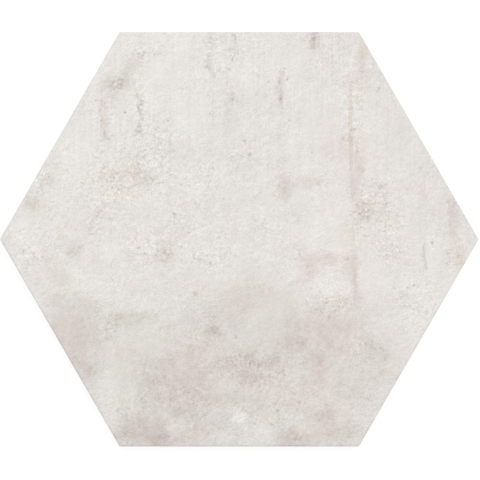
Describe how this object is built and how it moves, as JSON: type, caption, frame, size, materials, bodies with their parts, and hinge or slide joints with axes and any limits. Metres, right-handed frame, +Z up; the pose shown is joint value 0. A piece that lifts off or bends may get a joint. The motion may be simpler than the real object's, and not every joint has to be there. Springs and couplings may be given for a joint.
{
  "type": "hexagonal floor tile",
  "caption": "Regular hexagonal concrete-look porcelain floor tile with a matt pale grey face, rounded arris, chamfered heel and a keyed back for adhesive bedding.",
  "frame": {"origin": "centre of the tile on its back plane, the level that the ribs and border of the back rest on", "axes": "+Z up out of the walking face, +X towards a corner, +Y square to a flank, which is the top edge in the picture"},
  "size_m": [0.293, 0.254, 0.009],
  "materials": {
    "porcelain": "matt concrete-look glaze, pale warm grey with rose-grey clouds and streaks"
  },
  "bodies": {
    "root": {"tile": "porcelain"}
  },
  "joints": []
}
